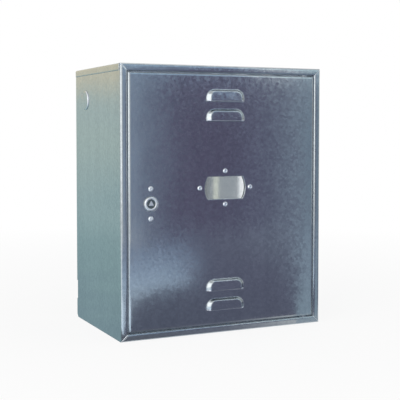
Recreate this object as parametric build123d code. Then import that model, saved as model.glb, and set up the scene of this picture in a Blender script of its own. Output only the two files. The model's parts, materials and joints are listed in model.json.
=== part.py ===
from build123d import *
import os

# Gas meter box of folded galvanised sheet for a wall: a casing with a mitred front frame, a louvred
# door on two hinge pins, a small window and a lock that a triangular key turns.
# Frame: origin in the middle of the back's outer face, +X right, -Y out of the front, +Z up.
# All lengths are millimetres.

# Casing sheet and folds
casing_width = 400.0
casing_depth = 250.0
casing_height = 480.0
sheet = 1.2
bend_inside = 2.3
frame_width = 13.0
return_depth = 16.0
keeper_lip = 10.0
overlap_lip = 12.5
mitre_gap = 0.4
corner_relief = 0.6

# Cut-outs and pressings of the casing
fixing_span_x = 300.0
fixing_span_z = 380.0
fixing_hole = 9.0
notch_height = 36.0
notch_depth = 7.0
notch_above_bottom = 36.0
rear_corner_cut = 9.0
knockout_diameter = 37.0
knockout_rise = 2.2
knockout_draft = 2.0
knockout_from_back = 61.0
knockout_from_top = 59.0
seal_hole = 5.0
seal_hole_from_back = 41.0
seal_hole_from_top = 47.0

# Door pan
door_sheet = 1.2
door_fold = 14.0
door_setback = 0.2
door_gap_lock_side = 0.8
door_gap_hinge_side = 1.6
door_gap_top = 1.2
door_gap_bottom = 1.2

# Pressed louvres, one pair near the top and one near the bottom
louvre_width = 75.0
louvre_height = 20.0
louvre_corner = 16.0
louvre_crest_corner = 10.0
louvre_rise = 6.0
louvre_top_rise = 5.4
louvre_end_slope = 6.5
louvre_top_slope = 3.0
louvre_edge_round = 1.6
louvre_pitch = 35.0
louvre_pair_height = 170.0

# Window
window_diameter = 80.0
window_height = 40.0
window_above_middle = 22.0
window_rivet_span_x = 101.0
window_rivet_span_z = 60.0
pane_overlap = 4.5
pane_thickness = 3.0
pane_clearance = 0.3
retainer_sheet = 1.2
retainer_rim = 9.0
retainer_corner = 12.0

# Blind rivets
rivet_shank = 4.8
rivet_head = 9.5
rivet_head_height = 2.2
rivet_shoulder_share = 0.8
rivet_shoulder_height_share = 0.6
rivet_crown_share = 0.45
rivet_flare = 7.0
rivet_flare_length = 3.0
rivet_clearance = 0.1

# Lock
lock_from_left = 55.5
lock_below_middle = 2.5
lock_barrel = 25.0
lock_barrel_proud = 3.0
lock_barrel_chamfer = 1.5
lock_hole_clearance = 0.2
lock_boss = 22.0
lock_rivet_span = 52.0
ear_width = 18.0
ear_thickness = 2.5
key_recess = 16.0
key_recess_depth = 7.5
key_triangle_radius = 6.0
key_triangle_round = 0.8
key_below_ring = 1.0
rotor_bore = 10.0
rotor_fit = 0.08
rotor_head_thickness = 3.0
cam_reach = 40.0
cam_width = 14.0
cam_hub = 20.0
cam_thickness = 2.5
cam_square = 6.8
cam_square_clearance = 0.1
cam_play = 0.2
latch_gap = 0.6
washer_diameter = 12.0
washer_thickness = 1.0
screw_diameter = 4.0
screw_length = 9.0
screw_clearance = 0.1
screw_head_across_flats = 7.0
screw_head_height = 2.8

# Hinge pins and their spacers
hinge_from_door_edge = 16.4
hinge_behind_door_front = 8.6
hinge_pin = 6.0
hinge_pin_clearance = 0.08
hinge_head = 10.0
hinge_head_height = 3.0
hinge_past_door = 2.5
hinge_spacer = 12.0
hinge_play = 0.2

# One overrun serves all cuts
cut_overrun = 1.0

# Places that follow from the sizes above
half_width = casing_width / 2
top = casing_height / 2
bottom = -top
front = -casing_depth
bend_outside = bend_inside + sheet
fold_relief = bend_outside + corner_relief
opening_x = half_width - frame_width
opening_top = top - frame_width
opening_bottom = bottom + frame_width
wall_top = top - bend_outside
keeper_front = front + return_depth
keeper_back = keeper_front + sheet

door_left = -opening_x + door_gap_lock_side
door_right = opening_x - door_gap_hinge_side
door_top = opening_top - door_gap_top
door_bottom = opening_bottom + door_gap_bottom
door_front = front + door_setback
door_inner = door_front + door_sheet
door_back = door_front + door_fold
hinge_x = door_right - hinge_from_door_edge
hinge_y = door_front + hinge_behind_door_front

pane_back = door_inner + pane_thickness
pane_width = window_diameter + 2 * pane_overlap
pane_height = window_height + 2 * pane_overlap
window_rivet_places = [
    (-window_rivet_span_x / 2, window_above_middle),
    (window_rivet_span_x / 2, window_above_middle),
    (0, window_above_middle - window_rivet_span_z / 2),
    (0, window_above_middle + window_rivet_span_z / 2),
]

lock_x = -half_width + lock_from_left
lock_z = -lock_below_middle
ring_front = door_front - lock_barrel_proud
recess_floor = ring_front + key_recess_depth
ear_back = door_inner + ear_thickness
cam_front = keeper_back + latch_gap
cam_back = cam_front + cam_thickness
washer_back = cam_back + washer_thickness
lock_rivet_places = [
    (lock_x, lock_z - lock_rivet_span / 2),
    (lock_x, lock_z + lock_rivet_span / 2),
]


def span_box(x_span, y_span, z_span):
    """Box between two places on each axis."""
    spans = (x_span, y_span, z_span)
    sizes = [max(span) - min(span) for span in spans]
    middles = [(max(span) + min(span)) / 2 for span in spans]
    return Pos(*middles) * Box(*sizes)


def facing_front(y, x=0, z=0):
    """Plane at depth y that faces the front, with its origin at x and z."""
    return Plane(origin=(x, y, z), x_dir=(1, 0, 0), z_dir=(0, -1, 0))


def bar(section, y_from, y_to, x=0, z=0):
    """Section drawn as seen from the front, run from one depth to another."""
    return extrude(facing_front(max(y_from, y_to), x, z) * section, abs(y_to - y_from))


def turned(half_outline):
    """Piece turned about the local Z axis, from half of its section as (radius, height) points."""
    return revolve(Plane.XZ * make_face(Polyline(*half_outline, close=True)), Axis.Z)


def folded_section(points):
    """Section of a sheet with square folds: its outer face follows the points, metal on their right."""
    corners = [Vector(*point) for point in points]
    headings = [(after - before).normalized() for before, after in zip(corners, corners[1:])]
    rights = [Vector(heading.Y, -heading.X) for heading in headings]
    shifts = [rights[0], *(one + two for one, two in zip(rights, rights[1:])), rights[-1]]
    inner = [corner + shift * sheet for corner, shift in zip(corners, shifts)]
    clockwise = [one.cross(two).Z < 0 for one, two in zip(headings, headings[1:])]
    outer_path = FilletPolyline(*corners, radius=[bend_outside if turn else bend_inside for turn in clockwise])
    inner_path = FilletPolyline(*inner, radius=[bend_inside if turn else bend_outside for turn in clockwise])
    ends = [Line(corners[0], inner[0]), Line(corners[-1], inner[-1])]
    return make_face([*outer_path.edges(), *inner_path.edges(), *ends])


def mitre_wedge(side_x, side_z, start, depth, above):
    """Wedge that trims one corner of the front frame on one side of its mitre, from start inwards."""
    reach = frame_width + keeper_lip + cut_overrun
    shift = -mitre_gap / 2 if above else mitre_gap / 2
    far = top + cut_overrun if above else top - reach - cut_overrun
    outline = [
        (half_width - start, top - start + shift),
        (half_width - reach, top - reach + shift),
        (half_width - reach, far),
        (half_width - start, far),
    ]
    corners = [(side_x * x, side_z * z) for x, z in outline]
    return bar(make_face(Polyline(*corners, close=True)), front - cut_overrun, front + depth)


def pressed_knockout(panel, place):
    """Panel with a round knock-out pressed out of it along the normal of the place."""
    rim = knockout_diameter / 2
    press = Cone(rim, rim - knockout_draft, knockout_rise, align=(Align.CENTER, Align.CENTER, Align.MIN))
    mouth = Cylinder(rim, cut_overrun, align=(Align.CENTER, Align.CENTER, Align.MAX))
    return panel + place * press - place.offset(-sheet) * (press + mouth)


def hinge_hole(z):
    """Drill for a hinge pin through a fold of the casing or of the door."""
    return Pos(hinge_x, hinge_y, z) * Cylinder(hinge_pin / 2 + hinge_pin_clearance, 2 * (sheet + door_sheet))


def rear_corner_tip(wall):
    """Wedge that cuts the lower tip off a rear bend."""
    below = bottom - cut_overrun
    outline = [
        (cut_overrun, below),
        (-rear_corner_cut, below),
        (-rear_corner_cut, bottom),
        (0, bottom + rear_corner_cut),
        (cut_overrun, bottom + rear_corner_cut),
    ]
    return extrude(Plane.YZ.offset(wall) * make_face(Polyline(*outline, close=True)), bend_outside, both=True)


def casing_wrap():
    """Back and both sides in one sheet, with the upright members of the front frame."""
    section = folded_section([
        (-opening_x + keeper_lip, keeper_front),
        (-opening_x, keeper_front),
        (-opening_x, front),
        (-half_width, front),
        (-half_width, 0),
        (half_width, 0),
        (half_width, front),
        (opening_x, front),
        (opening_x, keeper_front),
    ])
    wrap = extrude(Plane.XY.offset(bottom) * section, wall_top - bottom)
    notch_z = bottom + notch_above_bottom
    for side_x in (-1, 1):
        wall = side_x * half_width
        for side_z in (-1, 1):
            wrap -= mitre_wedge(side_x, side_z, -cut_overrun, bend_outside, True)
            wrap -= mitre_wedge(side_x, side_z, bend_outside, return_depth + fold_relief, True)
        knockout_place = (wall, -knockout_from_back, top - knockout_from_top)
        wrap = pressed_knockout(wrap, Plane(origin=knockout_place, z_dir=(side_x, 0, 0)))
        bend_span = (wall + side_x * cut_overrun, wall - side_x * notch_depth)
        wrap -= span_box(bend_span, (-notch_depth, cut_overrun), (notch_z, notch_z + notch_height))
        wrap -= rear_corner_tip(wall)
    hole_place = (-half_width, -seal_hole_from_back, top - seal_hole_from_top)
    wrap -= Pos(*hole_place) * Cylinder(seal_hole / 2, 2 * (sheet + cut_overrun), rotation=(0, 90, 0))
    for x in (-fixing_span_x / 2, fixing_span_x / 2):
        for z in (-fixing_span_z / 2, fixing_span_z / 2):
            wrap -= bar(Circle(fixing_hole / 2), -sheet - cut_overrun, cut_overrun, x, z)
    return wrap


def end_sheet(side_z, lip_x):
    """Top or bottom sheet with its member of the front frame and its lips, the side lips out to lip_x."""
    level = side_z * top
    fold = side_z * opening_top
    lip_end = side_z * (top - overlap_lip)
    long_path = [(keeper_front, fold), (front, fold), (front, level), (-sheet, level), (-sheet, lip_end)]
    cross_path = [(-lip_x, lip_end), (-lip_x, level), (lip_x, level), (lip_x, lip_end)]
    panel = extrude(Plane.YZ * folded_section(long_path[::side_z]), half_width, both=True)
    for side_x in (-1, 1):
        panel -= mitre_wedge(side_x, side_z, -cut_overrun, return_depth + fold_relief, False)
        edge_span = (side_x * (lip_x - bend_outside), side_x * (half_width + cut_overrun))
        panel -= span_box(edge_span, (front + bend_outside, cut_overrun), (level, lip_end))
    panel += bar(folded_section(cross_path[::side_z]), front + fold_relief, -fold_relief)
    for side_x in (-1, 1):
        corner_span = (side_x * (min(half_width, lip_x) - fold_relief), side_x * (lip_x + cut_overrun))
        rear_span = (-sheet - fold_relief, cut_overrun)
        panel -= span_box(corner_span, rear_span, (level, lip_end - side_z * cut_overrun))
    return panel - hinge_hole(fold)


def end_pieces(side_z, lip_x):
    """Top or bottom sheet as two pieces: the sheet with its member of the front frame, and the three lips,
    parted from it where their bends start."""
    panel = end_sheet(side_z, lip_x)
    far = lip_x + cut_overrun
    height_span = (side_z * (top + cut_overrun), side_z * (top - overlap_lip - cut_overrun))
    zones = [span_box((-far, far), (-sheet - bend_outside, cut_overrun), height_span)]
    for side_x in (-1, 1):
        bend_span = (side_x * (lip_x - bend_outside), side_x * far)
        zones.append(span_box(bend_span, (front + bend_outside, -sheet - bend_outside), height_span))
    lips = [panel & zone for zone in zones]
    for zone in zones:
        panel -= zone
    return panel, Compound(children=lips)


def hinge(fold, door_edge):
    """Headed pin through a fold of the frame and the door's edge, and the spacer between the two."""
    away = 1 if fold > door_edge else -1
    gap = abs(fold - door_edge)
    shank_end = -gap - door_sheet - hinge_past_door
    axis = Plane(origin=(hinge_x, hinge_y, fold), z_dir=(0, 0, away))
    pin = turned([
        (0, sheet + hinge_head_height),
        (hinge_head / 2, sheet + hinge_head_height),
        (hinge_head / 2, sheet),
        (hinge_pin / 2, sheet),
        (hinge_pin / 2, shank_end),
        (0, shank_end),
    ])
    ring = Circle(hinge_spacer / 2) - Circle(hinge_pin / 2 + hinge_pin_clearance)
    return axis * pin, axis * extrude(ring, hinge_play - gap)


def rounded_top(width, height, corner):
    """Outline that stands on its lower edge, with its two upper corners rounded."""
    plate = Rectangle(width, height, align=(Align.CENTER, Align.MIN))
    return fillet(plate.vertices().group_by(Axis.Y)[-1], corner)


def hood(skin):
    """Solid hood of a louvre, a skin inside its outer face: an outline on the sheet, lofted to a smaller
    one that tilts outwards to the open lip."""
    rise = louvre_rise - skin
    top_rise = louvre_top_rise - skin
    width = louvre_width - 2 * skin
    height = louvre_height - skin
    corner = louvre_corner - skin
    crest_height = height - louvre_top_slope
    slant = Vector(crest_height, rise - top_rise).length
    base = rounded_top(width, height, corner)
    crest = rounded_top(width - 2 * louvre_end_slope, slant, louvre_crest_corner - skin)
    tilted = Plane(origin=(0, 0, rise), x_dir=(1, 0, 0), z_dir=(0, rise - top_rise, crest_height))
    return loft([base, tilted * crest], ruled=True)


def with_louvre(door, lip_z):
    """Door with one louvre pressed out above a slit at the height of its lip."""
    place = facing_front(door_front, 0, lip_z)
    shell = hood(0)
    crest = shell.faces().sort_by(Axis.Z)[-1]
    lip = crest.edges().sort_by(Axis.Y)[0]
    shell = fillet([edge for edge in crest.edges() if not edge.is_same(lip)], louvre_edge_round)
    slit = rounded_top(louvre_width - 2 * door_sheet, louvre_height - door_sheet, louvre_corner - door_sheet)
    air_way = hood(door_sheet) + extrude(slit, -door_sheet - cut_overrun)
    return door + place * shell - place * air_way


def window_outline():
    """Round window with its top and bottom cut straight."""
    return Circle(window_diameter / 2) & Rectangle(window_diameter, window_height)


def door_pan():
    """Door sheet with its four edges folded back and open corner seams."""
    x_span = (door_left, door_right)
    z_span = (door_bottom, door_top)
    outer = span_box(x_span, (door_front, door_back), z_span)
    outer = fillet(outer.faces().sort_by(Axis.Y)[0].edges(), bend_inside + door_sheet)
    inner = span_box(
        (door_left + door_sheet, door_right - door_sheet),
        (door_inner, door_back + cut_overrun),
        (door_bottom + door_sheet, door_top - door_sheet),
    )
    pan = outer - fillet(inner.faces().sort_by(Axis.Y)[0].edges(), bend_inside)
    seam = 2 * (door_sheet + corner_relief)
    seam_start = door_inner + bend_inside
    seam_length = door_back + cut_overrun - seam_start
    for x in x_span:
        for z in z_span:
            pan -= Pos(x, seam_start + seam_length / 2, z) * Box(seam, seam_length, seam)
    return pan


def door_panel():
    """Door pan with its louvres, window, lock hole, rivet holes and hinge holes."""
    door = door_pan()
    for pair_z in (-louvre_pair_height, louvre_pair_height):
        lower_lip = pair_z - (louvre_pitch + louvre_height) / 2
        for lip_z in (lower_lip, lower_lip + louvre_pitch):
            door = with_louvre(door, lip_z)
    through = (door_front - cut_overrun, door_inner + cut_overrun)
    door -= bar(window_outline(), *through, 0, window_above_middle)
    door -= bar(Circle(lock_barrel / 2 + lock_hole_clearance), *through, lock_x, lock_z)
    for x, z in window_rivet_places + lock_rivet_places:
        door -= bar(Circle(rivet_shank / 2 + rivet_clearance), *through, x, z)
    for edge in (door_bottom, door_top):
        door -= hinge_hole(edge)
    return door


def window_pane():
    """Clear pane against the inside of the door."""
    return bar(Rectangle(pane_width, pane_height), door_inner, pane_back, 0, window_above_middle)


def window_retainer():
    """Sheet frame pressed into a shallow tray, which holds the pane against the door."""
    width = window_rivet_span_x + 2 * retainer_rim
    height = window_rivet_span_z + 2 * retainer_rim
    flange = RectangleRounded(width, height, retainer_corner)
    pocket_width = pane_width + 2 * pane_clearance
    pocket_height = pane_height + 2 * pane_clearance
    tray = Rectangle(pocket_width + 2 * retainer_sheet, pocket_height + 2 * retainer_sheet)
    pocket = Rectangle(pocket_width, pocket_height)
    tray_back = pane_back + retainer_sheet
    retainer = bar(flange, door_inner, door_inner + retainer_sheet, 0, window_above_middle)
    retainer += bar(tray, door_inner, tray_back, 0, window_above_middle)
    retainer -= bar(pocket, door_inner - cut_overrun, pane_back, 0, window_above_middle)
    retainer -= bar(window_outline(), pane_back - cut_overrun, tray_back + cut_overrun, 0, window_above_middle)
    for x, z in window_rivet_places:
        retainer -= bar(Circle(rivet_shank / 2 + rivet_clearance), door_inner, tray_back, x, z)
    return retainer


def blind_rivet(x, z, grip):
    """Blind rivet with a domed head on the front of the door and a flared tail behind what it grips."""
    head_radius = rivet_head / 2
    tail = -grip - rivet_flare_length
    rivet = turned([
        (0, rivet_head_height),
        (head_radius * rivet_crown_share, rivet_head_height),
        (head_radius * rivet_shoulder_share, rivet_head_height * rivet_shoulder_height_share),
        (head_radius, 0),
        (rivet_shank / 2, 0),
        (rivet_shank / 2, -grip),
        (rivet_flare / 2, tail),
        (0, tail),
    ])
    return facing_front(door_front, x, z) * rivet


def window_rivets():
    """Four rivets through the door and the frame of the pane."""
    grip = door_sheet + retainer_sheet
    return Compound(children=[blind_rivet(x, z, grip) for x, z in window_rivet_places])


def lock_rivets():
    """Two rivets through the door and the ears of the lock."""
    grip = door_sheet + ear_thickness
    return Compound(children=[blind_rivet(x, z, grip) for x, z in lock_rivet_places])


def lock_body():
    """Cast lock case: a ring that stands out of the door, ears behind it and a boss for the rotor."""
    ears = SlotOverall(lock_rivet_span + ear_width, ear_width, rotation=90) + Circle(lock_barrel / 2)
    for side_z in (-1, 1):
        ears -= Pos(0, side_z * lock_rivet_span / 2) * Circle(rivet_shank / 2 + rivet_clearance)
    barrel = bar(Circle(lock_barrel / 2), ring_front, ear_back, lock_x, lock_z)
    body = barrel + bar(ears, door_inner, ear_back, lock_x, lock_z)
    body += bar(Circle(lock_boss / 2), ear_back, cam_front - cam_play, lock_x, lock_z)
    body -= bar(Circle(key_recess / 2), ring_front, recess_floor, lock_x, lock_z)
    body -= bar(Circle(rotor_bore / 2), recess_floor, cam_front, lock_x, lock_z)
    rim = body.faces().sort_by(Axis.Y)[0].edges().sort_by(SortBy.RADIUS)[-1]
    return chamfer(rim, lock_barrel_chamfer)


def lock_rotor():
    """Rotor with a triangular drive in the recess, and a square for the cam, tapped for the screw."""
    head_front = recess_floor - rotor_head_thickness
    tip = ring_front + key_below_ring
    square_end = cam_back - cam_play
    triangle = RegularPolygon(key_triangle_radius, 3, rotation=90)
    triangle = fillet(triangle.vertices(), key_triangle_round)
    tapped_depth = screw_length - washer_thickness + cut_overrun
    rotor = bar(Circle(key_recess / 2 - rotor_fit), head_front, recess_floor, lock_x, lock_z)
    rotor += bar(triangle, tip, head_front, lock_x, lock_z)
    rotor += bar(Circle(rotor_bore / 2 - rotor_fit), recess_floor, cam_front, lock_x, lock_z)
    rotor += bar(Rectangle(cam_square, cam_square), cam_front, square_end, lock_x, lock_z)
    return rotor - bar(Circle(screw_diameter / 2 + screw_clearance), cam_back - tapped_depth, cam_back, lock_x, lock_z)


def lock_cam():
    """Latch cam, which hangs down while the door is unlocked."""
    end = Pos(0, -cam_reach + cam_width / 2)
    arm = Rectangle(cam_width, cam_reach - cam_width / 2, align=(Align.CENTER, Align.MAX))
    square = cam_square + 2 * cam_square_clearance
    plate = Circle(cam_hub / 2) + arm + end * Circle(cam_width / 2) - Rectangle(square, square)
    return bar(plate, cam_front, cam_back, lock_x, lock_z)


def lock_washer():
    """Washer between the cam and its screw."""
    ring = Circle(washer_diameter / 2) - Circle(screw_diameter / 2 + screw_clearance)
    return bar(ring, cam_back, washer_back, lock_x, lock_z)


def lock_screw():
    """Screw that holds the cam on the rotor."""
    hexagon = RegularPolygon(screw_head_across_flats / 2, 6, major_radius=False)
    head = bar(hexagon, washer_back, washer_back + screw_head_height, lock_x, lock_z)
    return head + bar(Circle(screw_diameter / 2), washer_back - screw_length, washer_back, lock_x, lock_z)


# The top's side lips lie over the sides, and the bottom's lie inside them
top_panel, top_lips = end_pieces(1, half_width + sheet)
bottom_panel, bottom_lips = end_pieces(-1, half_width - sheet)
upper_hinge_pin, upper_hinge_spacer = hinge(opening_top, door_top)
lower_hinge_pin, lower_hinge_spacer = hinge(opening_bottom, door_bottom)

nodes = {
    "casing_wrap": casing_wrap(),
    "top_panel": top_panel,
    "top_lips": top_lips,
    "bottom_panel": bottom_panel,
    "bottom_lips": bottom_lips,
    "upper_hinge_pin": upper_hinge_pin,
    "lower_hinge_pin": lower_hinge_pin,
    "upper_hinge_spacer": upper_hinge_spacer,
    "lower_hinge_spacer": lower_hinge_spacer,
    "door_panel": door_panel(),
    "window_pane": window_pane(),
    "window_retainer": window_retainer(),
    "window_rivets": window_rivets(),
    "lock_body": lock_body(),
    "lock_rivets": lock_rivets(),
    "lock_rotor": lock_rotor(),
    "lock_cam": lock_cam(),
    "lock_washer": lock_washer(),
    "lock_screw": lock_screw(),
}

os.makedirs("parts", exist_ok=True)
for name, shape in nodes.items():
    export_step(shape, f"parts/{name}.step")
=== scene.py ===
# %% [markdown]
# A gas meter box of folded galvanised sheet, dressed for a studio picture.
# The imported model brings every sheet, pin, rivet and lock piece at its real size and place, so the lesson
# is about light and surface: a bare metal shows nothing but its surroundings, and those have to be built
# with as much care as the metal itself.

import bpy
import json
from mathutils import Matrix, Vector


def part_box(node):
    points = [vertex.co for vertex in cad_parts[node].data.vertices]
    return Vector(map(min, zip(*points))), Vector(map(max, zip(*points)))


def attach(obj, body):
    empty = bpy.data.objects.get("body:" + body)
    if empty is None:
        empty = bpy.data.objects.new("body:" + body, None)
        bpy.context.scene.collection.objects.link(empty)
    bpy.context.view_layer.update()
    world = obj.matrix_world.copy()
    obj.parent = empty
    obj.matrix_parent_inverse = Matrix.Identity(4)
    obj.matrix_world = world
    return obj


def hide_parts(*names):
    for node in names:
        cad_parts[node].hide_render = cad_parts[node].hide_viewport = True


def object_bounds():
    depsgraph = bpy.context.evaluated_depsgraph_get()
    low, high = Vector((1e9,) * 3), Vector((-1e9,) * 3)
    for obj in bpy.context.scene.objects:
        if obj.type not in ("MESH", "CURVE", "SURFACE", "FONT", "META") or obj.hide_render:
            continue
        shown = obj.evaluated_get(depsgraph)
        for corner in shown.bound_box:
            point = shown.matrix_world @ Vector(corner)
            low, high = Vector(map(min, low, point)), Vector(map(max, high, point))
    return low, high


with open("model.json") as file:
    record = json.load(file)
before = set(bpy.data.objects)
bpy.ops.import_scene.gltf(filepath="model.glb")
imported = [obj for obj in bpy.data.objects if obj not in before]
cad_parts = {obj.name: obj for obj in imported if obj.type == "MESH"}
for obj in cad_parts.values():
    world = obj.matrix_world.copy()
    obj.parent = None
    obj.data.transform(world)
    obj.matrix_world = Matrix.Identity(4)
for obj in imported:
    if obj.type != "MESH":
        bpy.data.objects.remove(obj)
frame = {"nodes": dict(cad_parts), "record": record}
cad_low, cad_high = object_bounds()
nodes = frame["nodes"]
print("nodes", len(nodes), "box", [round(v, 4) for v in (*cad_low, *cad_high)])

# %% [markdown]
# Everything below is written in millimetres where a maker would think in millimetres. Blender works in
# metres, so one factor converts. Colours are written as sRGB hex, as a colour picker gives them, and one
# function turns them into the linear values that light adds up in.

# %% Units and colours
import json
import math
import random

import bmesh
import bpy
from mathutils import Matrix, Vector

MM = 0.001


def linear(code):
    """Linear RGBA of an sRGB colour written as six hex digits."""
    values = [int(code[i:i + 2], 16) / 255 for i in (0, 2, 4)]
    return [v / 12.92 if v <= 0.04045 else ((v + 0.055) / 1.055) ** 2.4 for v in values] + [1.0]


print("mid grey", [round(v, 3) for v in linear("808080")])

# %% [markdown]
# A shader is a small network. One helper adds a node, sets its properties and fills its inputs: a plain
# value goes into the socket, and another node's output is linked to it. A second helper starts a material
# with an empty network. The Mix node keeps sockets for every kind of value under the same names, so its
# colour and number sockets are picked by their place in the list.

# %% Helpers for shader nodes
COLOUR_A, COLOUR_B, COLOUR_OUT = 6, 7, 2
NUMBER_A, NUMBER_B, NUMBER_OUT = 2, 3, 0


def add(tree, kind, inputs=None, **settings):
    """Add a node to a tree; inputs maps a socket's name or number to a value or to an output to link."""
    node = tree.nodes.new(kind)
    for name, value in settings.items():
        setattr(node, name, value)
    for socket, value in (inputs or {}).items():
        if isinstance(value, bpy.types.NodeSocket):
            tree.links.new(value, node.inputs[socket])
        else:
            node.inputs[socket].default_value = value
    return node


def blank_material(name):
    """New material with an empty network, and that network."""
    material = bpy.data.materials.new(name)
    material.use_nodes = True
    material.node_tree.nodes.clear()
    return material, material.node_tree


print("helpers ready:", add.__name__, blank_material.__name__)

# %% [markdown]
# The camera comes first, because it decides what the metal reflects. It stands to the left of the box and a
# little above its middle, with a long lens. It is tilted down slightly, and a small shift keeps the upright
# edges almost parallel, as a product photographer does.

# %% Camera
TILT_DOWN, TURN_RIGHT = math.radians(2.61), math.radians(25.21)

camera_data = bpy.data.cameras.new("long_lens")
camera_data.lens = 82.43
camera_data.sensor_width = 36
camera_data.shift_y = -0.075
camera = bpy.data.objects.new("camera", camera_data)
camera.location = (-0.7420, -1.7191, 0.1287)
camera.rotation_euler = (math.radians(90) - TILT_DOWN, 0, -TURN_RIGHT)
bpy.context.scene.collection.objects.link(camera)
bpy.context.scene.camera = camera
bpy.context.scene.view_settings.view_transform = "Standard"
print("camera to box", round((camera.location - (cad_low + cad_high) / 2).length, 3), "m")

# %% [markdown]
# The background is a white sweep. A world strength of 1 is white for the eye, and the metal and the pane
# must mirror the same white, so camera, glossy and transmission rays all get it. The light that the world
# throws on matt surfaces is half of that, so that they keep some shape.

# %% White surroundings
MATT_LEVEL, SEEN_LEVEL = 0.5, 1.0


def looked_at(tree):
    """Output that is 1 for what the eye, a mirror or a clear sheet looks at, and 0 for other light."""
    ray = add(tree, "ShaderNodeLightPath").outputs
    direct = add(tree, "ShaderNodeMath", {
        0: ray["Is Camera Ray"], 1: ray["Is Glossy Ray"],
    }, operation="MAXIMUM")
    return add(tree, "ShaderNodeMath", {
        0: direct.outputs[0], 1: ray["Is Transmission Ray"],
    }, operation="MAXIMUM").outputs[0]


world = bpy.data.worlds.new("white_sweep")
bpy.context.scene.world = world
world.use_nodes = True
tree = world.node_tree
tree.nodes.clear()
level = add(tree, "ShaderNodeMapRange", {
    "Value": looked_at(tree), "To Min": MATT_LEVEL, "To Max": SEEN_LEVEL,
})
sky = add(tree, "ShaderNodeBackground", {"Color": linear("FFFFFF"), "Strength": level.outputs[0]})
add(tree, "ShaderNodeOutputWorld", {"Surface": sky.outputs[0]})
print("world nodes", len(tree.nodes))

# %% [markdown]
# The floor is a large pale sheet right under the box. Where it is looked at or mirrored it is mostly white by
# itself, and a share of it is plain matt paint, which keeps the soft shadow. The painted share fades out away
# from the box, so that floor and background meet without a line, as on a photographer's paper sweep.

# %% Floor
FLOOR_REACH = 8.0
FADE_START, FADE_END = 0.4, 1.6
OWN_WHITE_NEAR, OWN_WHITE_FAR = 0.86, 1.0
floor_z = cad_low.z - 0.2 * MM


def flat_sheet(name, corners, material):
    """One flat face through the given corners, which is part of the studio and not of the box."""
    mesh = bpy.data.meshes.new(name)
    mesh.from_pydata(corners, [], [list(range(len(corners)))])
    mesh.materials.append(material)
    made = bpy.data.objects.new(name, mesh)
    bpy.context.scene.collection.objects.link(made)
    return made


def lying(z, *corners):
    """Corners of a sheet that lies level at the height z."""
    return [(x, y, z) for x, y in corners]


floor_paint, tree = blank_material("white_floor_paint")
place = add(tree, "ShaderNodeTexCoord").outputs["Object"]
far = add(tree, "ShaderNodeVectorMath", {0: place}, operation="LENGTH")
fade = add(tree, "ShaderNodeMapRange", {
    "Value": far.outputs["Value"], "From Min": FADE_START, "From Max": FADE_END,
    "To Min": OWN_WHITE_NEAR, "To Max": OWN_WHITE_FAR,
})
own_share = add(tree, "ShaderNodeMath", {0: looked_at(tree), 1: fade.outputs[0]}, operation="MULTIPLY")
paint = add(tree, "ShaderNodeBsdfDiffuse", {"Color": linear("FAFAFA")})
white = add(tree, "ShaderNodeEmission", {"Color": linear("FFFFFF"), "Strength": 1.0})
both = add(tree, "ShaderNodeMixShader", {0: own_share.outputs[0], 1: paint.outputs[0], 2: white.outputs[0]})
add(tree, "ShaderNodeOutputMaterial", {"Surface": both.outputs[0]})
flat_sheet("floor", lying(
    floor_z, (-FLOOR_REACH, -FLOOR_REACH), (FLOOR_REACH, -FLOOR_REACH),
    (FLOOR_REACH, FLOOR_REACH), (-FLOOR_REACH, FLOOR_REACH),
), floor_paint)
print("floor at", round(floor_z, 4))

# %% [markdown]
# Two large soft lamps light the box: a key at the left that reaches from the floor to well above the box,
# which draws the bright lines along every bend that turns left, and a wide one overhead. The brightness that
# a bend mirrors is the lamp's power over its area and pi, so the power is worked out from the brightness
# wanted. In a reflection it adds to the white of the world behind the lamp, which is why 1.35 is already
# bright.

# %% Soft lamps
def soft_lamp(name, place, target, width, height, brightness, code="FFFFFF"):
    """Rectangular lamp at a place, turned to a target, whose face has the given brightness."""
    lamp = bpy.data.lights.new(name, "AREA")
    lamp.shape = "RECTANGLE"
    lamp.size = width
    lamp.size_y = height
    lamp.energy = brightness * math.pi * width * height
    lamp.color = linear(code)[:3]
    made = bpy.data.objects.new(name, lamp)
    made.location = place
    made.rotation_euler = (Vector(target) - Vector(place)).to_track_quat("-Z", "Y").to_euler()
    made.visible_camera = False
    bpy.context.scene.collection.objects.link(made)
    return made


key = soft_lamp("key_left", (-2.17, -1.63, 1.1), (-0.2, -0.25, 0.5), 3.0, 2.7, brightness=1.35)
overhead = soft_lamp("overhead", (0.5, -0.5, 2.4), (0.0, -0.1, 0.0), 1.8, 1.8, brightness=0.9)
print("lamp power", round(key.data.energy, 1), round(overhead.data.energy, 1), "W")
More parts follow.
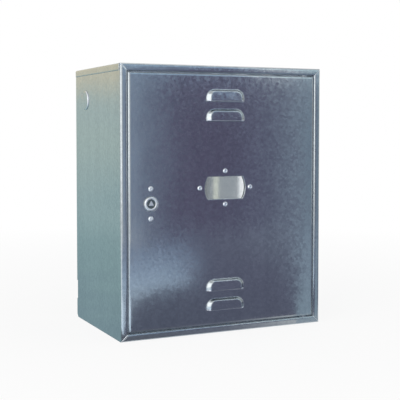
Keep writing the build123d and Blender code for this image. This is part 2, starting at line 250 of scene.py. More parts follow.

# %% [markdown]
# A door that faces a white room would be white. So glowing sheets stand and lie where the metal looks, in
# place of a photographer's cards and mats, and the shade painted on them gives the metal its depth: they are
# painted reflections. All of them are made alike: a flat sheet that glows softly, though it is no lamp, in
# colours that change along one axis and drift in soft clouds. They are there for reflections only.

# %% Glowing cards and mats for painted reflections
def painted_reflection_glow(name, stops, axis, start, end, clouds, strength=1.0, cloud_size=0.45):
    """Glowing sheet of painted reflection: colours along one axis from start to end, broken by soft clouds.
    """
    cloth, tree = blank_material(name)
    place = add(tree, "ShaderNodeTexCoord").outputs["Object"]
    split = add(tree, "ShaderNodeSeparateXYZ", {0: place})
    along = add(tree, "ShaderNodeMapRange", {
        "Value": split.outputs[axis], "From Min": start, "From Max": end,
    })
    soft = add(tree, "ShaderNodeTexNoise", {"Vector": place, "Scale": 1 / cloud_size, "Detail": 2.0})
    drift = add(tree, "ShaderNodeMath", {
        0: soft.outputs["Fac"], 1: clouds, 2: -clouds / 2,
    }, operation="MULTIPLY_ADD")
    where = add(tree, "ShaderNodeMath", {0: along.outputs[0], 1: drift.outputs[0]}, operation="ADD")
    ramp = add(tree, "ShaderNodeValToRGB", {0: where.outputs[0]})
    ramp.color_ramp.interpolation = "EASE"
    for position, code in stops[1:-1]:
        ramp.color_ramp.elements.new(position)
    for stop, (position, code) in zip(ramp.color_ramp.elements, stops):
        stop.position = position
        stop.color = linear(code)
    glow = add(tree, "ShaderNodeEmission", {"Color": ramp.outputs[0], "Strength": strength})
    add(tree, "ShaderNodeOutputMaterial", {"Surface": glow.outputs[0]})
    return cloth


def painted_reflection_sheet(name, corners, cloth):
    """Glowing sheet that shows only in polished surfaces, as a painted reflection, and neither to the eye nor
    as a shade on other things.
    """
    sheet = flat_sheet(name, corners, cloth)
    sheet.visible_camera = False
    sheet.visible_diffuse = False
    sheet.visible_transmission = False
    sheet.visible_shadow = False
    return sheet


def standing(left, right, bottom, top):
    """Corners of an upright sheet between two places on the floor plan."""
    return [(*left, bottom), (*right, bottom), (*right, top), (*left, top)]


print("cards are made by", painted_reflection_glow.__name__, "and", painted_reflection_sheet.__name__)

# %% [markdown]
# The flat door mirrors what stands to the front right. A dark blue card there glows with a painted
# reflection that makes the door dark in the middle and lighter towards both edges. A pale band stands just
# before it, higher than the flat door looks, and glows nearly twice as bright as white: it paints the
# highlights on the bends and crests that are turned up a little. One stretch of the band is white.

# %% Card that the door mirrors
CARD_Y = -1.7
CARD_LEFT, CARD_RIGHT, CARD_TOP = 0.22, 2.4, 1.3
DOOR_FROM, DOOR_TO = 0.33, 1.13  # the stretch of the card that the door shows, along X
BAND_BOTTOM = 0.36
band_y = CARD_Y + 10 * MM

# Painted reflection: this glowing card's colours set the door's dark middle and its lighter edges.
dark_cloth = painted_reflection_glow("dark_blue_cloth", [
    (0.0, "BCCFE6"), (0.08, "A3B0C8"), (0.15, "868DA6"), (0.28, "736C88"), (0.45, "716A86"),
    (0.66, "7B7A95"), (0.8, "8789A2"), (0.92, "B2C1D1"), (1.0, "94AABC"),
], "X", DOOR_FROM, DOOR_TO, clouds=0.12)
card = painted_reflection_sheet(
    "dark_card", standing((CARD_LEFT, CARD_Y), (CARD_RIGHT, CARD_Y), floor_z, CARD_TOP), dark_cloth)
# Painted highlight: this band glows at nearly twice white, and its white stretch gives the bright lines on
# bends and crests.
band_cloth = painted_reflection_glow("bend_highlight_band_cloth", [
    (0.0, "A0B5C8"), (0.6, "9AACC4"), (0.68, "A3B3C8"), (0.71, "FFFFFF"),
    (0.83, "FFFFFF"), (0.87, "C6D8E0"), (1.0, "C0D3DA"),
], "X", DOOR_FROM, DOOR_TO, clouds=0.0, strength=1.9)
painted_reflection_sheet(
    "bend_highlight_band", standing((CARD_LEFT, band_y), (CARD_RIGHT, band_y), BAND_BOTTOM, CARD_TOP), band_cloth)
print("card", [round(v, 2) for v in card.dimensions])

# %% [markdown]
# The lower part of the door mirrors the floor in front. A dark glowing mat lies there, a painted shadow of
# the box on the floor, and on it a pale blue patch, painted lit floor, for the light smear at the lower left.
# A grey-blue strip paints the lighter right edge, and a narrow strip along the box paints the frame's bottom
# rail. All of them are painted reflections.

# %% Painted floor shadow and lit floor in front
FRONT_Y = -0.25
mat_z = floor_z + 0.1 * MM
patch_z = mat_z + 0.1 * MM

# Painted shadow: this dark mat stands for the box's shadow on the floor, as the door mirrors it.
mat_cloth = painted_reflection_glow("floor_shadow_reflection_cloth", [
    (0.0, "74788C"), (0.5, "7C7D94"), (1.0, "969CB0"),
], "X", -0.1, 0.9, clouds=0.2)
mat = painted_reflection_sheet("floor_shadow_reflection", lying(
    mat_z, (-0.24, FRONT_Y), (-0.08, -0.62), (0.4, CARD_Y), (CARD_RIGHT, CARD_Y), (CARD_RIGHT, FRONT_Y),
), mat_cloth)
# Painted light: this pale patch stands for the lit floor beyond the shadow, as the door mirrors it.
patch_cloth = painted_reflection_glow("lit_floor_reflection_cloth", [
    (0.0, "8890AC"), (0.4, "A9BAD6"), (0.72, "D0E4FC"), (1.0, "E0F0FF"),
], "Y", -1.5, -0.6, clouds=0.2)
painted_reflection_sheet("lit_floor_reflection", lying(
    patch_z, (-0.6, -0.6), (-0.02, -0.62), (0.15, -0.75), (0.36, -1.15), (0.5, -1.5), (-0.6, -1.5),
), patch_cloth)
right_cloth = painted_reflection_glow("grey_blue_cloth", [
    (0.0, "AEC1D4"), (0.5, "B6C8DA"), (1.0, "AEC0D0"),
], "Y", CARD_Y, FRONT_Y, clouds=0.1)
painted_reflection_sheet("right_strip", lying(
    patch_z, (0.15, FRONT_Y), (1.04, CARD_Y), (1.32, CARD_Y), (0.23, FRONT_Y),
), right_cloth)
strip_cloth = painted_reflection_glow("front_strip_cloth", [
    (0.0, "7E828E"), (0.45, "8C90A0"), (1.0, "F0F2F6"),
], "X", -0.2, 0.22, clouds=0.1)
painted_reflection_sheet("front_strip", lying(
    patch_z, (-0.3, FRONT_Y), (-0.3, -0.312), (0.4, -0.312), (0.4, FRONT_Y),
), strip_cloth)
print("mat", [round(v, 2) for v in mat.dimensions])

# %% [markdown]
# The left side is seen at a glancing angle and mirrors what is behind it to the left. A pale glowing card
# stands there, warm at the top and cooler towards the floor, and a sea-green glowing mat lies on the floor
# before it: both are the side's painted reflection. The bends at the front left mirror the floor beside the
# box, where a pale mat glows twice as bright as white and paints their highlights. A slate card behind at
# the right and a grey one under the ceiling glow dim, and their painted shade keeps the bends along the top
# dark.

# %% Cards and mats for the side and the bends
BACK_BOTTOM = -0.24
CEILING_Z = 1.9
SIDE_X, MAT_LEFT = -0.2, -1.6
SIDE_CLOUDS = {"clouds": 0.6, "cloud_size": 0.2}

pale_cloth = painted_reflection_glow("pale_green_cloth", [
    (0.0, "BCD6D8"), (0.45, "D4E6E0"), (0.66, "D3E5E2"), (0.9, "FFF6DC"), (1.0, "FFF6DC"),
], "Z", BACK_BOTTOM, 0.45, **SIDE_CLOUDS)
pale = painted_reflection_sheet("pale_card", standing((-2.2, 1.6), (0.2, 2.4), BACK_BOTTOM, 1.6), pale_cloth)
sea_cloth = painted_reflection_glow("sea_green_cloth", [
    (0.0, "CAE3E2"), (0.7, "ACC9CC"), (1.0, "A0BAC2"),
], "X", -1.2, SIDE_X, **SIDE_CLOUDS)
painted_reflection_sheet("sea_green_mat", lying(
    mat_z, (SIDE_X, FRONT_Y), (SIDE_X, 2.25), (MAT_LEFT, 1.8), (MAT_LEFT, FRONT_Y),
), sea_cloth)
# Painted highlight: this mat glows at twice white and gives the bright lines along the bends at the front
# left.
side_cloth = painted_reflection_glow("left_bend_highlight_cloth", [
    (0.0, "D6DADE"), (0.6, "D8E0E8"), (1.0, "CCDAE8"),
], "X", -0.8, SIDE_X, clouds=0.2, strength=2.0)
painted_reflection_sheet("left_bend_highlight", lying(
    mat_z, (SIDE_X, FRONT_Y), (MAT_LEFT, FRONT_Y), (MAT_LEFT, CARD_Y), (-0.6, CARD_Y), (-0.6, -0.6),
    (-0.05, -0.6),
), side_cloth)
# Painted shade: the slate card and the ceiling card glow dim, so that the bends along the top mirror them
# dark.
back_cloth = painted_reflection_glow("slate_cloth", [
    (0.0, "9AA8AE"), (0.5, "5E6C78"), (1.0, "8A979E"),
], "X", 0.0, 1.8, clouds=0.2)
painted_reflection_sheet("slate_card", standing((0.15, 1.5), (2.2, 1.1), BACK_BOTTOM, CEILING_Z), back_cloth)
ceiling_cloth = painted_reflection_glow("ceiling_cloth", [
    (0.0, "A4B0C0"), (0.6, "A8B6C4"), (1.0, "C0CCD4"),
], "X", 0.2, 1.6, clouds=0.1)
painted_reflection_sheet("ceiling_card", lying(
    CEILING_Z, (-0.3, -2.6), (2.2, -2.6), (2.2, -0.73), (-0.3, -0.73),
), ceiling_cloth)
print("pale card", [round(v, 2) for v in pale.dimensions])

# %% [markdown]
# Behind the pane the box is closed, and the little light inside comes in through the louvres. Through the
# window the eye meets the back sheet, which mirrors the right wall. A wide and a narrow panel on that wall
# and a strip that stands off it take the place of that light, and the satin sheet turns them into soft
# upright bands. A narrow level panel behind the door's top edge lightens the gap above the door, which would
# be black without it.

# %% Light inside the box
INNER_HEIGHT = 0.46
wall_x = cad_high.x - 8 * MM
gap_z = 0.222


def inner_strip(name, x, y, towards, width, brightness, code):
    """Upright lamp inside the box, nearly as high as the box, turned to a point on the floor plan."""
    return soft_lamp(name, (x, y, 0), (*towards, 0), width, INNER_HEIGHT, brightness, code)


inner_lamps = [
    inner_strip("inner_fill", wall_x + 1 * MM, -0.137, (0, -0.137), 200 * MM, 0.80, "DCE4F0"),
    inner_strip("inner_band_left", 0.132, -0.06, (0.1024, 0), 10 * MM, 0.95, "FFF6D0"),
    inner_strip("inner_band_right", wall_x, -0.053, (0, -0.053), 37 * MM, 1.9, "FFF4F2"),
    soft_lamp("inner_top", (0, -0.2, gap_z), (0, FRONT_Y, gap_z), 370 * MM, 30 * MM, 1.6, "C8D4E8"),
]
print("inner lamps", [round(lamp.data.energy, 3) for lamp in inner_lamps], "W")

# %% [markdown]
# Hot-dip galvanised steel: rolled sheet drawn through molten zinc. The zinc freezes into flat crystals a few
# millimetres wide, the spangle, and each lies at its own slight angle, so neighbouring crystals mirror
# slightly different things. Rolling leaves faint streaks along the sheet, and a thin sheet is never quite
# flat. To the eye that is a satin grey with a fine mottle and slow, wavy reflections. Folding rolls the sheet
# a little beside each bend, so edges are read a few millimetres wide. Narrow seams stay damp, and there the
# zinc forms a pale matt bloom, which keeps them from looking black. The whole finish is one shader, so that
# it stays whole where the model is used elsewhere.

# %% Galvanised sheet: its patterns
SPANGLE = 4.5 * MM
STREAK_WIDTH = 26 * MM
STREAK_LENGTH = 420 * MM
WAVE = 170 * MM
WAVE_HEIGHT = 1.1 * MM
GRAIN = 1.8 * MM  # coarser than the real grain, so that it shows
SOFT_EDGE = 3.0 * MM
NOOK = 5 * MM
CRYSTAL_TILT = 0.016
DARK_ZINC, LIGHT_ZINC, BLOOM = "959CA1", "BCC2C4", "C4D0DC"

galvanised, tree = blank_material("hot_dip_galvanised_steel")
place = add(tree, "ShaderNodeTexCoord").outputs["Object"]
ragged = add(tree, "ShaderNodeTexNoise", {"Vector": place, "Scale": 1 / SPANGLE, "Detail": 3.0})
shift = add(tree, "ShaderNodeVectorMath", {
    0: ragged.outputs["Color"], 1: (SPANGLE / 2,) * 3, 2: place,
}, operation="MULTIPLY_ADD")
crystals = add(tree, "ShaderNodeTexVoronoi", {
    "Vector": shift.outputs[0], "Scale": 1 / SPANGLE, "Randomness": 1.0,
})
crystal = add(tree, "ShaderNodeSeparateColor", {0: crystals.outputs["Color"]})
streak_place = add(tree, "ShaderNodeMapping", {
    "Vector": place, "Scale": (1 / STREAK_WIDTH, 1 / STREAK_WIDTH, 1 / STREAK_LENGTH),
})
streaks = add(tree, "ShaderNodeTexNoise", {"Vector": streak_place.outputs[0], "Scale": 1.0, "Detail": 3.0})
waves = add(tree, "ShaderNodeTexNoise", {
    "Vector": place, "Scale": 1 / WAVE, "Detail": 2.0, "Roughness": 0.4,
})
grain = add(tree, "ShaderNodeTexNoise", {"Vector": place, "Scale": 1 / GRAIN, "Detail": 2.0})
print("galvanised patterns", len(tree.nodes), "nodes, spangle", SPANGLE, "m")

# %% [markdown]
# The patterns are put together in three steps. Crystals, streaks and grain set the shade between dark and
# light zinc, and crystals and grain set the roughness. The crystals also tilt the surface a little, on top of
# its rounded edges, and the slow waves are added to that. Last, the bloom takes the place of bare metal where
# little open air is near.

# %% Galvanised sheet: its shader
SHADE_BASE, SHADE_CRYSTAL, SHADE_STREAK, SHADE_GRAIN = 0.02, 0.26, 0.46, 0.25
ROUGH_BASE, ROUGH_CRYSTAL, ROUGH_GRAIN, ROUGH_BLOOM = 0.09, 0.05, 0.06, 0.75
CROWDED, OPEN, LEAST_CLEAN = 0.1, 0.65, 0.1
NEAR_SAMPLES = 6

tone = add(tree, "ShaderNodeMath", {
    0: crystal.outputs[0], 1: SHADE_CRYSTAL, 2: SHADE_BASE,
}, operation="MULTIPLY_ADD")
tone = add(tree, "ShaderNodeMath", {
    0: streaks.outputs["Fac"], 1: SHADE_STREAK, 2: tone.outputs[0],
}, operation="MULTIPLY_ADD")
tone = add(tree, "ShaderNodeMath", {
    0: grain.outputs["Fac"], 1: SHADE_GRAIN, 2: tone.outputs[0],
}, operation="MULTIPLY_ADD")
zinc = add(tree, "ShaderNodeMix", {
    "Factor": tone.outputs[0], COLOUR_A: linear(DARK_ZINC), COLOUR_B: linear(LIGHT_ZINC),
}, data_type="RGBA")
gloss = add(tree, "ShaderNodeMath", {
    0: crystal.outputs[1], 1: ROUGH_CRYSTAL, 2: ROUGH_BASE,
}, operation="MULTIPLY_ADD")
gloss = add(tree, "ShaderNodeMath", {
    0: grain.outputs["Fac"], 1: ROUGH_GRAIN, 2: gloss.outputs[0],
}, operation="MULTIPLY_ADD")
facing = add(tree, "ShaderNodeBevel", {"Radius": SOFT_EDGE}, samples=NEAR_SAMPLES).outputs[0]
tilt = add(tree, "ShaderNodeVectorMath", {0: crystals.outputs["Color"], 1: (0.5,) * 3}, operation="SUBTRACT")
tilt = add(tree, "ShaderNodeVectorMath", {
    0: tilt.outputs[0], 1: (CRYSTAL_TILT,) * 3, 2: facing,
}, operation="MULTIPLY_ADD")
tilt = add(tree, "ShaderNodeVectorMath", {0: tilt.outputs[0]}, operation="NORMALIZE")
wavy = add(tree, "ShaderNodeBump", {
    "Height": waves.outputs["Fac"], "Distance": WAVE_HEIGHT, "Strength": 1.0, "Normal": tilt.outputs[0],
})
nook = add(tree, "ShaderNodeAmbientOcclusion", {"Distance": NOOK}, samples=NEAR_SAMPLES).outputs["AO"]
clean = add(tree, "ShaderNodeMapRange", {
    "Value": nook, "From Min": CROWDED, "From Max": OPEN, "To Min": LEAST_CLEAN, "To Max": 1.0,
}).outputs[0]
skin = add(tree, "ShaderNodeMix", {
    "Factor": clean, COLOUR_A: linear(BLOOM), COLOUR_B: zinc.outputs[COLOUR_OUT],
}, data_type="RGBA")
satin = add(tree, "ShaderNodeMix", {
    "Factor": clean, NUMBER_A: ROUGH_BLOOM, NUMBER_B: gloss.outputs[0],
}, data_type="FLOAT")
metal = add(tree, "ShaderNodeBsdfPrincipled", {
    "Base Color": skin.outputs[COLOUR_OUT], "Metallic": clean,
    "Roughness": satin.outputs[NUMBER_OUT], "Normal": wavy.outputs[0],
})
add(tree, "ShaderNodeOutputMaterial", {"Surface": metal.outputs[0]})
print("galvanised nodes", len(tree.nodes))

# %% [markdown]
# The small metal pieces are plainer, with no spangle and no waves. One function makes them: a metal of one
# colour, with a fine grain that moves its shade and roughness and gives a shallow relief. The grain is drawn
# coarser than the real one, so that it shows. The hinge pins and the cam are steel with bright zinc plating,
# which looks clear and a little blue. The lock case is a zinc casting that was tumbled smooth, pale and
# silky. The rivets are drawn aluminium: bright round the window, and weathered to a dull white beside the
# lock.

# %% Small metals
GRAIN_ROUGHNESS = 0.06


def small_metal(name, dark, light, rough, grain_size, relief_height):
    """Bare metal with a grain of the given size, which shades its colour, roughness and relief."""
    made, tree = blank_material(name)
    place = add(tree, "ShaderNodeTexCoord").outputs["Object"]
    grain = add(tree, "ShaderNodeTexNoise", {
        "Vector": place, "Scale": 1 / grain_size, "Detail": 3.0,
    }).outputs["Fac"]
    shade = add(tree, "ShaderNodeMix", {
        "Factor": grain, COLOUR_A: linear(dark), COLOUR_B: linear(light),
    }, data_type="RGBA")
    gloss = add(tree, "ShaderNodeMapRange", {
        "Value": grain, "To Min": rough - GRAIN_ROUGHNESS, "To Max": rough + GRAIN_ROUGHNESS,
    })
    relief = add(tree, "ShaderNodeBump", {"Height": grain, "Distance": relief_height, "Strength": 1.0})
    metal = add(tree, "ShaderNodeBsdfPrincipled", {
        "Base Color": shade.outputs[COLOUR_OUT], "Metallic": 1.0,
        "Roughness": gloss.outputs[0], "Normal": relief.outputs[0],
    })
    add(tree, "ShaderNodeOutputMaterial", {"Surface": metal.outputs[0]})
    return made


zinc_plate = small_metal("zinc_plated_steel", "B9BEC4", "D4D8DC", 0.24, 1.5 * MM, 0.01 * MM)
zinc_casting = small_metal("tumbled_zinc_casting", "C8CBCE", "E2E4E6", 0.38, 1.2 * MM, 0.02 * MM)
rivet_aluminium = small_metal("drawn_aluminium", "BFC4CC", "DADDE2", 0.24, 1.0 * MM, 0.01 * MM)
weathered_aluminium = small_metal("weathered_aluminium", "C6CACE", "DEE0E4", 0.46, 0.8 * MM, 0.02 * MM)
print("small metals", zinc_plate.name, zinc_casting.name, rivet_aluminium.name, weathered_aluminium.name)

# %% [markdown]
# The pane is clear polycarbonate sheet. Years behind a metal door leave a thin haze of fine scratches and
# dust on it: a small share of its surface is matt, and its roughness varies with the scratches. They are
# drawn two millimetres wide, far wider than real ones, so that they show.

# %% Clear pane
SCRATCH = 2 * MM
POLYCARBONATE_IOR = 1.585
CLEAR_SHARE = 0.94
LEAST_HAZE, MOST_HAZE = 0.03, 0.09

clear_sheet, tree = blank_material("clear_polycarbonate")
place = add(tree, "ShaderNodeTexCoord").outputs["Object"]
scratches = add(tree, "ShaderNodeTexNoise", {"Vector": place, "Scale": 1 / SCRATCH, "Detail": 4.0})
haze = add(tree, "ShaderNodeMapRange", {
    "Value": scratches.outputs["Fac"], "To Min": LEAST_HAZE, "To Max": MOST_HAZE,
})
plastic = add(tree, "ShaderNodeBsdfPrincipled", {
    "Base Color": linear("F3F5F2"), "Roughness": haze.outputs[0],
    "IOR": POLYCARBONATE_IOR, "Transmission Weight": CLEAR_SHARE,
})
add(tree, "ShaderNodeOutputMaterial", {"Surface": plastic.outputs[0]})
print("pane nodes", len(tree.nodes))

# %% [markdown]
# The rotor in the lock's recess is the same casting with painted shade: the deeper the metal lies behind the
# ring, the darker its colour, and only the tip of the triangle keeps the casting's own colour.

# %% Rotor with painted shade in its recess
rotor_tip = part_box("lock_rotor")[0].y
darkening_from, darkening_to = rotor_tip + 0.4 * MM, rotor_tip + 3.0 * MM

recess_shaded = zinc_casting.copy()
recess_shaded.name = "recess_shaded_zinc_casting"
tree = recess_shaded.node_tree
metal = next(node for node in tree.nodes if node.type == "BSDF_PRINCIPLED")
bare = metal.inputs["Base Color"].links[0].from_socket
place = add(tree, "ShaderNodeTexCoord").outputs["Object"]
depth = add(tree, "ShaderNodeSeparateXYZ", {0: place}).outputs["Y"]
# Painted shade: the colour darkens towards 646E72 the deeper the rotor lies behind the ring.
shade_share = add(tree, "ShaderNodeMapRange", {"Value": depth, "From Min": darkening_from, "From Max": darkening_to})
recess_shade = add(tree, "ShaderNodeMix", {
    "Factor": shade_share.outputs[0], COLOUR_A: bare, COLOUR_B: linear("646E72"),
}, data_type="RGBA")
tree.links.new(recess_shade.outputs[COLOUR_OUT], metal.inputs["Base Color"])
print("grease from", round(darkening_from, 4), "to", round(darkening_to, 4))

# %% [markdown]
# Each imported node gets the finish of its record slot. The solids' own curved faces arrive with exact
# normals, so they need no further smoothing.

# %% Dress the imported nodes
finishes = {
    "galvanised_sheet": galvanised,
    "zinc_plated_steel": zinc_plate,
    "zinc_casting": zinc_casting,
    "aluminium_rivet": rivet_aluminium,
    "clear_plastic": clear_sheet,
}
for part in frame["record"]["subparts"]:
    nodes[part["node"]].material_slots[0].material = finishes[part["material_slot"]]
nodes["lock_rotor"].material_slots[0].material = recess_shaded

# %% [markdown]
# Every new piece is finished in the same way: its faces are turned outwards, and it gets its material and
# the body that it rides on. Turned pieces are best made as a lathe makes them: half of the section, spun
# about the axis, with the points joined where the turn closes. Points are (radius, height) in millimetres,
# and the height counts out of the door towards the eye.

# %% Finishing and lathe
JOIN = 0.002 * MM
SHARP = math.radians(42)


def finished_piece(name, shape, material, body, smooth=True, sharp_from=None):
    """Piece from a drawn shape, dressed and riding on its body; edges from an angle on can stay sharp."""
    bmesh.ops.recalc_face_normals(shape, faces=shape.faces)
    mesh = bpy.data.meshes.new(name)
    shape.to_mesh(mesh)
    shape.free()
    if smooth:
        mesh.shade_smooth()
    if sharp_from:
        mesh.set_sharp_from_angle(angle=sharp_from)
    mesh.materials.append(material)
    made = bpy.data.objects.new(name, mesh)
    bpy.context.scene.collection.objects.link(made)
    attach(made, body)
    return made


def turned(name, half_section, places, face_y, material, body, steps=56):
    """One piece made of the same turned form at each place on a face that looks out of the front."""
    shape = bmesh.new()
    for x, z in places:
        ring = [shape.verts.new((x + r * MM, face_y - h * MM, z)) for r, h in half_section]
        edges = [shape.edges.new(pair) for pair in zip(ring, ring[1:])]
        bmesh.ops.spin(
            shape, geom=ring + edges, cent=(x, face_y, z), axis=(0, 1, 0), angle=2 * math.pi, steps=steps)
    bmesh.ops.remove_doubles(shape, verts=shape.verts, dist=JOIN)
    return finished_piece(name, shape, material, body, sharp_from=SHARP)


print("lathe ready, sharp edges from", round(math.degrees(SHARP)), "degrees")

# %% [markdown]
# Blind rivets: a tube with a domed flange, set from the front by pulling a steel pin through it. The pin
# snaps off inside, which leaves a round hole in the dome of the window's rivets. The solids have plain domes
# in the same places, and these finer ones stand for them.

# %% Rivets
DOOR_FOLD = 14.0
RIVET_HEAD = 9.5


def rivet_section(grip, hole, hole_depth):
    """Half section of a set blind rivet, from the bottom of the pin hole round to its flared tail."""
    dome_top = 2.2
    floor_height = dome_top - hole_depth
    return [
        (0, floor_height), (hole * 0.85, floor_height), (hole, floor_height + 0.15), (hole, dome_top - 0.25),
        (hole + 0.2, dome_top - 0.05), (hole + 0.5, dome_top), (3.1, 2.05), (3.7, 1.7), (4.2, 1.15),
        (4.55, 0.55), (4.72, 0.2), (4.72, 0.05), (4.65, 0), (2.4, 0), (2.4, -grip), (2.75, -grip - 0.9),
        (3.25, -grip - 2.1), (3.45, -grip - 2.7), (3.3, -grip - 3.0), (0, -grip - 3.0),
    ]


door_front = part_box("door_panel")[1].y - DOOR_FOLD * MM
head = RIVET_HEAD * MM / 2
window_low, window_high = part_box("window_rivets")
window_x = (window_low.x + window_high.x) / 2
window_z = (window_low.z + window_high.z) / 2
window_places = [
    (window_low.x + head, window_z), (window_high.x - head, window_z),
    (window_x, window_low.z + head), (window_x, window_high.z - head),
]
window_rivets = turned(
    "window_rivet_domes", rivet_section(grip=2.4, hole=2.2, hole_depth=2.0), window_places, door_front,
    rivet_aluminium, "door")
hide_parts("window_rivets")
lock_low, lock_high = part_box("lock_rivets")
lock_x = (lock_low.x + lock_high.x) / 2
lock_z = (lock_low.z + lock_high.z) / 2
lock_places = [(lock_x, lock_low.z + head), (lock_x, lock_high.z - head)]
lock_rivets = turned(
    "lock_rivet_domes", rivet_section(grip=3.7, hole=1.2, hole_depth=0.3), lock_places, door_front,
    weathered_aluminium, "door")
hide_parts("lock_rivets")
print("door front", round(door_front, 4), "rivets", len(window_places) + len(lock_places))

# %% [markdown]
# The lock case is a zinc casting: a barrel whose rounded ring stands out of the door, a recess for the key
# with a bore in its floor, and a boss behind. The solid has a plain chamfer, and the ring here is turned
# with a full round, because the bright ring is the first thing that the eye finds on the door.

# %% Lock barrel
RING_RADIUS, RING_PROUD = 12.5, 3.0
RECESS_RADIUS, RECESS_FLOOR = 8.0, -4.5
BOSS_RADIUS, BOSS_END = 11.0, -17.4
BORE_RADIUS = 5.0
EAR_BACK = -3.7


def rounded(corners, radius, steps=5):
    """Outline with some of its corners rounded: corners are (r, h, share), where share scales the radius."""
    outline = []
    count = len(corners)
    for i, (r, h, share) in enumerate(corners):
        here = Vector((r, h))
        if share == 0:
            outline.append((r, h))
            continue
        before = (Vector(corners[i - 1][:2]) - here).normalized() * radius * share
        after = (Vector(corners[(i + 1) % count][:2]) - here).normalized() * radius * share
        for k in range(steps + 1):
            t = k / steps
            point = here + before * (1 - t) ** 2 + after * t ** 2
            outline.append((point.x, point.y))
    return outline


barrel_outline = rounded([
    (BORE_RADIUS, BOSS_END, 0.2), (BOSS_RADIUS, BOSS_END, 0.4), (BOSS_RADIUS, EAR_BACK, 0),
    (RING_RADIUS, EAR_BACK, 0.2), (RING_RADIUS, RING_PROUD, 1.0), (RECESS_RADIUS, RING_PROUD, 0.7),
    (RECESS_RADIUS, RECESS_FLOOR, 0), (BORE_RADIUS, RECESS_FLOOR, 0.2),
], radius=2.4)
lock_case = turned(
    "lock_case", barrel_outline + barrel_outline[:1], [(lock_x, lock_z)], door_front,
    zinc_casting, "door", steps=72)
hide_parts("lock_body")
print("lock at", round(lock_x, 4), round(lock_z, 4), "faces", len(lock_case.data.polygons))

# %% [markdown]
# Behind the door sheet the case has two ears, above and below the barrel, through which the rivets hold it.
# Each is a flat tongue with a round end, a rivet hole, and a bottom cut to the barrel's curve. A flat curve
# with a thickness and a small bevel draws such a plate with its hole in one go.

# %% Lock ears
EAR_HALF, EAR_REACH = 9.0, 26.0
EAR_THICKNESS, EAR_BEVEL = 2.5, 0.4
EAR_HOLE_RADIUS = 2.5
EAR_DEPTH = 2.45  # from the front of the door to the middle of the ear


def plate_mesh(name, outlines, thickness, bevel):
    """Flat plate with bevelled edges about the XY plane, from closed outlines of (x, y) in millimetres."""
    drawing = bpy.data.curves.new(name + "_drawing", "CURVE")
    drawing.dimensions = "2D"
    drawing.fill_mode = "BOTH"
    drawing.extrude = (thickness / 2 - bevel) * MM
    drawing.bevel_depth = bevel * MM
    drawing.bevel_resolution = 1
    drawing.offset = -bevel * MM
    for outline in outlines:
        line = drawing.splines.new("POLY")
        line.points.add(len(outline) - 1)
        for point, (x, y) in zip(line.points, outline):
            point.co = (x * MM, y * MM, 0, 1)
        line.use_cyclic_u = True
    stand_in = bpy.data.objects.new(name + "_drawing", drawing)
    bpy.context.scene.collection.objects.link(stand_in)
    drawn = stand_in.evaluated_get(bpy.context.evaluated_depsgraph_get())
    mesh = bpy.data.meshes.new_from_object(drawn)
    bpy.data.objects.remove(stand_in)
    return mesh


def arc(radius, start, end, steps, y=0.0):
    """Points on a circle about (0, y), from one angle in degrees to another."""
    angles = [math.radians(start + (end - start) * i / steps) for i in range(steps + 1)]
    return [(radius * math.cos(a), y + radius * math.sin(a)) for a in angles]


hug = math.degrees(math.acos(EAR_HALF / RING_RADIUS))
tongue = arc(EAR_HALF, 0, 180, 24, EAR_REACH) + arc(RING_RADIUS, 180 - hug, hug, 16)
hole = arc(EAR_HOLE_RADIUS, 0, 345, 23, EAR_REACH)
ear = plate_mesh("lock_ear", [tongue, hole], EAR_THICKNESS, EAR_BEVEL)
upright = (
    Matrix.Translation((lock_x, door_front + EAR_DEPTH * MM, lock_z)) @ Matrix.Rotation(math.pi / 2, 4, "X"))
shape = bmesh.new()
for turn in (0, math.pi):
    first = len(shape.verts)
    shape.from_mesh(ear)
    shape.verts.ensure_lookup_table()
    stand = upright @ Matrix.Rotation(turn, 4, "Z")
    bmesh.ops.transform(shape, matrix=stand, verts=shape.verts[first:])
bmesh.ops.remove_doubles(shape, verts=shape.verts, dist=JOIN)
lock_ears = finished_piece("lock_ears", shape, zinc_casting, "door", smooth=False)
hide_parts("lock_body")
print("ear faces", len(lock_ears.data.polygons))

# %% [markdown]
# Beads are the last kind of piece: welds, torn rims and rolled edges. Each is an oval run along a path, with
# half of it sunk in the sheet, thinner at both ends and a little uneven, as anything drawn by hand or by a
# blunt tool is. The unevenness is random, and a fixed seed makes it the same in every run.

# %% Beads
AROUND = 12
TIP_SHARE, TAPER_STEPS = 0.55, 3
random.seed(7)


def run_bead(shape, path, width, height, wobble):
    """Oval bead along a path of (place, direction out of the sheet), tapered at both ends; in millimetres."""
    last = len(path) - 1
    turns = [2 * math.pi * k / AROUND for k in range(AROUND)]
    rings = []
    for i, (place, out) in enumerate(path):
        ahead = (path[min(i + 1, last)][0] - path[max(i - 1, 0)][0]).normalized()
        across = ahead.cross(out).normalized()
        share = TIP_SHARE + (1 - TIP_SHARE) * min(1.0, i / TAPER_STEPS, (last - i) / TAPER_STEPS)
        half = across * (width / 2 * share * random.uniform(1 - wobble, 1 + wobble) * MM)
        high = out * (height * share * random.uniform(1 - wobble, 1 + wobble) * MM)
        rings.append([shape.verts.new(place + half * math.cos(a) + high * math.sin(a)) for a in turns])
    for one, two in zip(rings, rings[1:]):
        for k in range(AROUND):
            shape.faces.new((one[k], one[(k + 1) % AROUND], two[(k + 1) % AROUND], two[k]))
    shape.faces.new(rings[0])
    shape.faces.new(rings[-1])


print("beads have", AROUND, "points around")

# %% [markdown]
# The front frame is folded from three sheets that meet in mitres at its corners. The joints are welded and
# brightened with zinc, which leaves a thin raised bead across each corner and round its bends: paler and
# rougher than the sheet. The lower left weld is the heaviest.

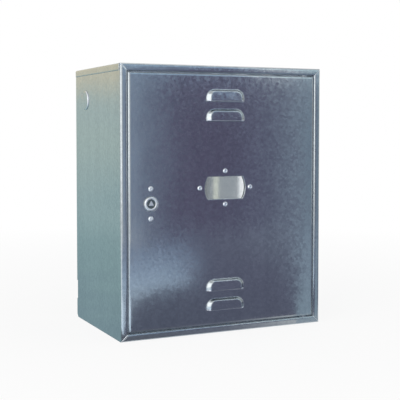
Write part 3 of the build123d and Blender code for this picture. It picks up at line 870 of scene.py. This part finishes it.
# %% Mitre seams
HALF_WIDTH, DEPTH, HALF_HEIGHT = 200.0, 250.0, 240.0
FRAME_WIDTH, BEND = 13.0, 3.5
INNER_SWEEP, OUTER_SWEEP = math.radians(72), math.radians(56)
SEAM_HEIGHT, SEAM_WOBBLE = 0.42, 0.08
SEAM_WIDTHS = {(-1, -1): 1.9, (-1, 1): 1.4, (1, 1): 1.0, (1, -1): 1.0}
bead_metal = small_metal("zinc_brightened_weld", "C4CACE", "E4E8EA", 0.34, 0.9 * MM, 0.05 * MM)


def mitre_path(side_x, side_z, steps=10):
    """Points across one corner of the frame, from inside to outside, each with the way out of the sheet."""
    inner, outer = FRAME_WIDTH - BEND, BEND
    path = []
    for i in range(steps + 1):
        a = INNER_SWEEP * (1 - i / steps)
        path.append((inner + BEND * math.sin(a), BEND * (1 - math.cos(a)), -math.sin(a), math.cos(a)))
    for i in range(1, steps + 1):
        path.append((inner + (outer - inner) * i / steps, 0.0, 0.0, 1.0))
    for i in range(1, steps + 1):
        a = OUTER_SWEEP * i / steps
        path.append((outer - BEND * math.sin(a), BEND * (1 - math.cos(a)), math.sin(a), math.cos(a)))
    made = []
    for inwards, sunk, aside, ahead in path:
        place = Vector((side_x * (HALF_WIDTH - inwards), sunk - DEPTH, side_z * (HALF_HEIGHT - inwards)))
        out = Vector((side_x * aside, -2 * ahead, side_z * aside)).normalized()
        made.append((place * MM, out))
    return made


shape = bmesh.new()
for (side_x, side_z), width in SEAM_WIDTHS.items():
    run_bead(shape, mitre_path(side_x, side_z), width, SEAM_HEIGHT, SEAM_WOBBLE)
seams = finished_piece("mitre_seams", shape, bead_metal, "casing")
print("seam faces", len(seams.data.polygons))

# %% [markdown]
# The round knock-out in each side is sheared almost all the way round and pushed out, so that a fitter can
# break it out for a pipe. Its front rim shows the torn bright edge of the sheet, a thin crescent that tapers
# at both ends.

# %% Knock-out rims
RIM_RADIUS, RIM_PROUD = 17.6, 1.1
RIM_FROM_BACK, RIM_ABOVE_MIDDLE = 61.0, 181.0
RIM_HALF_SWEEP = 84
RIM_WIDTH, RIM_HEIGHT, EDGE_WOBBLE = 2.4, 0.5, 0.03
sheared_steel = small_metal("sheared_steel_edge", "C2C7CE", "DDE1E6", 0.42, 0.8 * MM, 0.02 * MM)


def rim_path(side_x, steps=28):
    """Points along the front half of a knock-out's rim, each with the way out of the sheet."""
    path = []
    for i in range(steps + 1):
        a = math.radians(-RIM_HALF_SWEEP + 2 * RIM_HALF_SWEEP * i / steps)
        forward, up = RIM_RADIUS * math.cos(a), RIM_RADIUS * math.sin(a)
        place = Vector((side_x * (HALF_WIDTH + RIM_PROUD), -RIM_FROM_BACK - forward, RIM_ABOVE_MIDDLE + up))
        path.append((place * MM, Vector((side_x, -math.cos(a), math.sin(a))).normalized()))
    return path


shape = bmesh.new()
for side_x in (-1, 1):
    run_bead(shape, rim_path(side_x), RIM_WIDTH, RIM_HEIGHT, EDGE_WOBBLE)
rims = finished_piece("knockout_rims", shape, sheared_steel, "casing")
print("rim faces", len(rims.data.polygons))

# %% [markdown]
# The louvres are slit and pressed out in one stroke of the tool, which leaves the lower lip of each hood as a
# sheared edge: slightly rolled over, matt, and paler than the sheet. A thin bead along each lip gives that
# edge, because the solid's own edge is too sharp to catch any light.

# %% Louvre lips
LOUVRE_PAIRS = (-170, 170)
LIPS_IN_PAIR = (-27.5, 7.5)
LIP_LIFT = 0.4
HOOD_RISE, LIP_SUNK = 6.0, 0.77  # the bead lies a little deeper than its height, so it doesn't pass the hood
LIP_WIDTH, LIP_HEIGHT = 1.8, 0.74
rolled_edge = small_metal("rolled_zinc_edge", "D6DAE6", "F0F2F8", 0.64, 0.8 * MM, 0.02 * MM)


def lip_path(lip_z):
    """Points along one lip from left to right: up the end of the hood, along its front and down again."""
    proud = HOOD_RISE - LIP_SUNK
    end = [
        (-37.0, 0.5), (-35.2, 2.0), (-33.6, 3.5), (-32.4, 4.55), (-31.5, 5.15),
        (-30.4, proud), (-28.0, proud),
    ]
    front = [(x, proud) for x in range(-24, 25, 6)]
    whole = end + front + [(-x, h) for x, h in reversed(end)]
    return [(Vector((x * MM, door_front - h * MM, lip_z)), Vector((0, -1, 0))) for x, h in whole]


shape = bmesh.new()
for pair_z in LOUVRE_PAIRS:
    for offset in LIPS_IN_PAIR:
        run_bead(shape, lip_path((pair_z + offset + LIP_LIFT) * MM), LIP_WIDTH, LIP_HEIGHT, EDGE_WOBBLE)
lips = finished_piece("louvre_lips", shape, rolled_edge, "door")
print("lip faces", len(lips.data.polygons))
